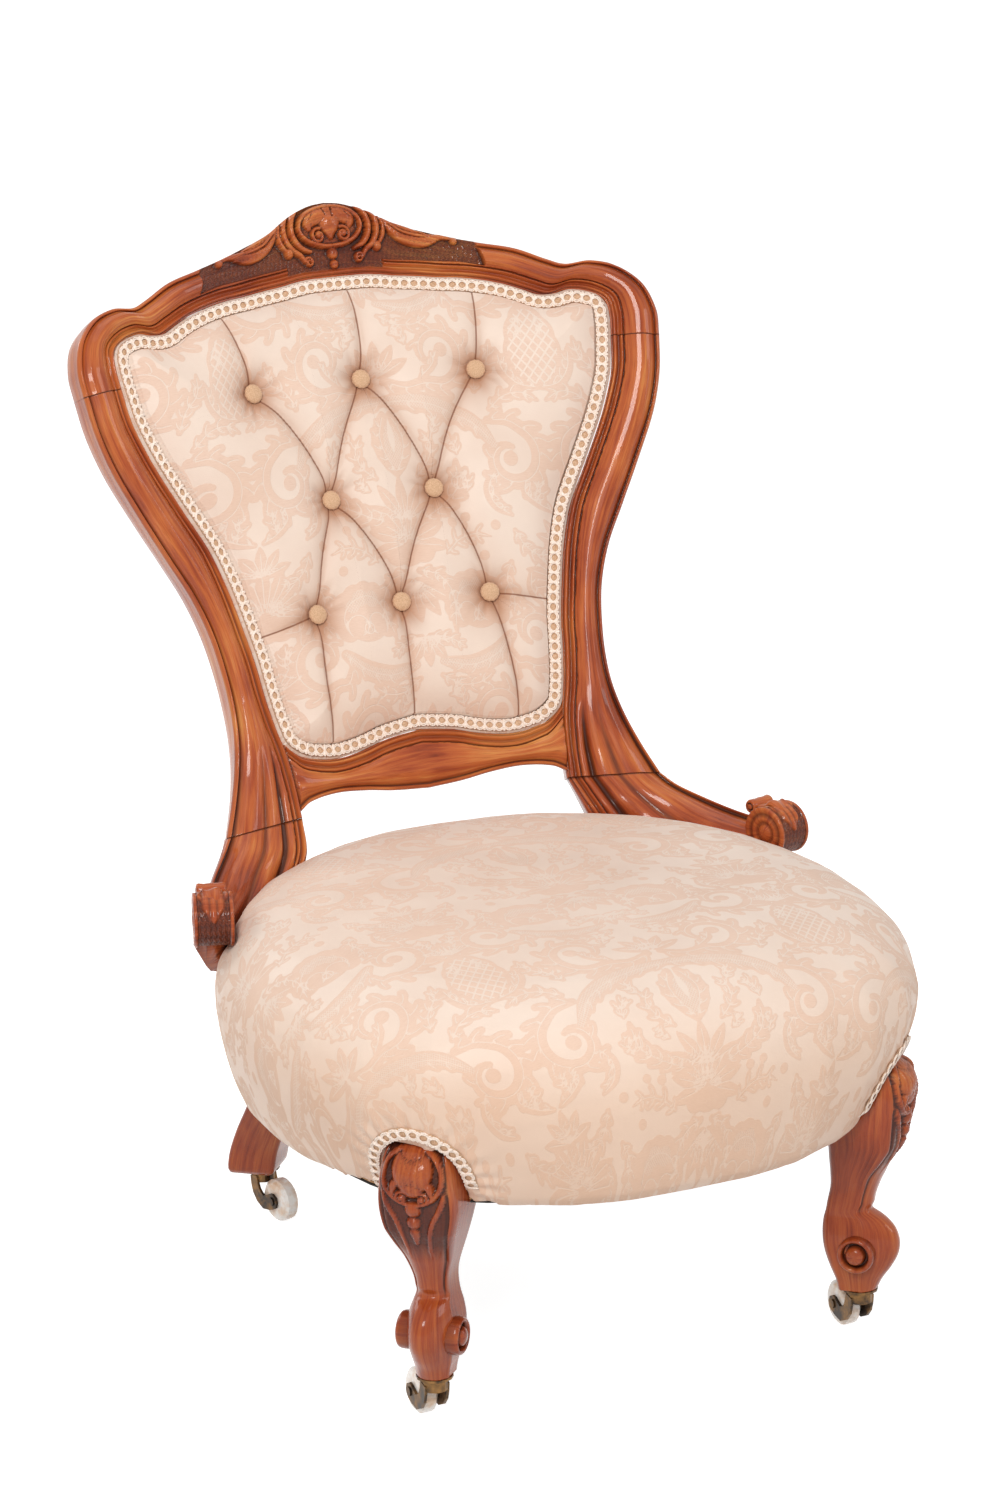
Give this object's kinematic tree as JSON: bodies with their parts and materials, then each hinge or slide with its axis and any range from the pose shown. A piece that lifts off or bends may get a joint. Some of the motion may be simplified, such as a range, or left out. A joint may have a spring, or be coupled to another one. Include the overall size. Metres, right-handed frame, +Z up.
{
  "type": "ladies chair",
  "caption": "Low spoon-back ladies chair with a carved walnut show frame, buttoned damask back, round sprung seat and swivelling castors.",
  "frame": {"origin": "on the floor, under the middle of the chair's box", "axes": "+Z up, -Y the way the sitter faces, +X the sitter's left"},
  "size_m": [0.586, 0.7742, 0.8917],
  "materials": {
    "polished_walnut": "french polished, warm red brown",
    "ivory_damask": "satin woven damask, ivory ground with a beige figure",
    "gimp_braid": "looped ivory gimp braid",
    "button_cloth": "plain tan cloth",
    "beech_frame": "bare planed beech",
    "linen": "coarse jute and linen weave",
    "black_lining": "thin dull black cloth",
    "spring_steel": "copper washed wire",
    "aged_brass": "worn dark brass with bright edges",
    "white_ceramic": "glazed white china with a worn tan tread"
  },
  "bodies": {
    "chair_frame": {"crest_rail": "polished_walnut", "lower_back_rail": "polished_walnut", "right_stile": "polished_walnut", "right_elbow": "polished_walnut", "right_front_leg": "polished_walnut", "right_back_leg": "polished_walnut", "left_stile": "polished_walnut", "left_elbow": "polished_walnut", "left_front_leg": "polished_walnut", "left_back_leg": "polished_walnut", "seat_pad": "ivory_damask", "back_pad": "ivory_damask", "outside_back": "ivory_damask", "right_knee_gimp": "gimp_braid", "left_knee_gimp": "gimp_braid", "back_gimp": "gimp_braid", "front_seat_rail": "beech_frame", "left_seat_rail": "beech_frame", "back_seat_rail": "beech_frame", "right_seat_rail": "beech_frame", "right_corner_block": "beech_frame", "left_corner_block": "beech_frame", "seat_webbing": "linen", "spring_canvas": "linen", "back_canvas": "linen", "bottom_cloth": "black_lining", "seat_spring_1": "spring_steel", "seat_spring_2": "spring_steel", "seat_spring_3": "spring_steel", "seat_spring_4": "spring_steel", "seat_spring_5": "spring_steel", "back_button_1": "button_cloth", "back_button_2": "button_cloth", "back_button_3": "button_cloth", "back_button_4": "button_cloth", "back_button_5": "button_cloth", "back_button_6": "button_cloth", "back_button_7": "button_cloth", "back_button_8": "button_cloth", "front_right_castor_plate": "aged_brass", "front_left_castor_plate": "aged_brass", "back_right_castor_plate": "aged_brass", "back_left_castor_plate": "aged_brass"},
    "front_right_castor_horn": {"front_right_castor_fork": "aged_brass", "front_right_castor_axle": "aged_brass"},
    "front_right_castor_roller": {"front_right_castor_wheel": "white_ceramic"},
    "front_left_castor_horn": {"front_left_castor_fork": "aged_brass", "front_left_castor_axle": "aged_brass"},
    "front_left_castor_roller": {"front_left_castor_wheel": "white_ceramic"},
    "back_right_castor_horn": {"back_right_castor_fork": "aged_brass", "back_right_castor_axle": "aged_brass"},
    "back_right_castor_roller": {"back_right_castor_wheel": "white_ceramic"},
    "back_left_castor_horn": {"back_left_castor_fork": "aged_brass", "back_left_castor_axle": "aged_brass"},
    "back_left_castor_roller": {"back_left_castor_wheel": "white_ceramic"}
  },
  "joints": [
    {"name": "front_right_castor_swivel", "type": "hinge", "parent": "chair_frame", "child": "front_right_castor_horn", "pos_m": [-0.198, -0.28202, 0.044], "axis": [0, 0, 1], "continuous": true},
    {"name": "front_right_wheel_spin", "type": "hinge", "parent": "front_right_castor_horn", "child": "front_right_castor_roller", "pos_m": [-0.198, -0.25422, 0.01926], "axis": [-1, 0, 0], "continuous": true},
    {"name": "front_left_castor_swivel", "type": "hinge", "parent": "chair_frame", "child": "front_left_castor_horn", "pos_m": [0.198, -0.28202, 0.044], "axis": [0, 0, 1], "continuous": true},
    {"name": "front_left_wheel_spin", "type": "hinge", "parent": "front_left_castor_horn", "child": "front_left_castor_roller", "pos_m": [0.198, -0.25422, 0.01926], "axis": [-1, 0, 0], "continuous": true},
    {"name": "back_right_castor_swivel", "type": "hinge", "parent": "chair_frame", "child": "back_right_castor_horn", "pos_m": [-0.151, 0.21098, 0.044], "axis": [0, 0, 1], "continuous": true},
    {"name": "back_right_wheel_spin", "type": "hinge", "parent": "back_right_castor_horn", "child": "back_right_castor_roller", "pos_m": [-0.14475, 0.18389, 0.01926], "axis": [0.9744, 0.225, 0], "continuous": true},
    {"name": "back_left_castor_swivel", "type": "hinge", "parent": "chair_frame", "child": "back_left_castor_horn", "pos_m": [0.151, 0.21098, 0.044], "axis": [0, 0, 1], "continuous": true},
    {"name": "back_left_wheel_spin", "type": "hinge", "parent": "back_left_castor_horn", "child": "back_left_castor_roller", "pos_m": [0.14475, 0.18389, 0.01926], "axis": [0.9744, -0.225, 0], "continuous": true}
  ]
}
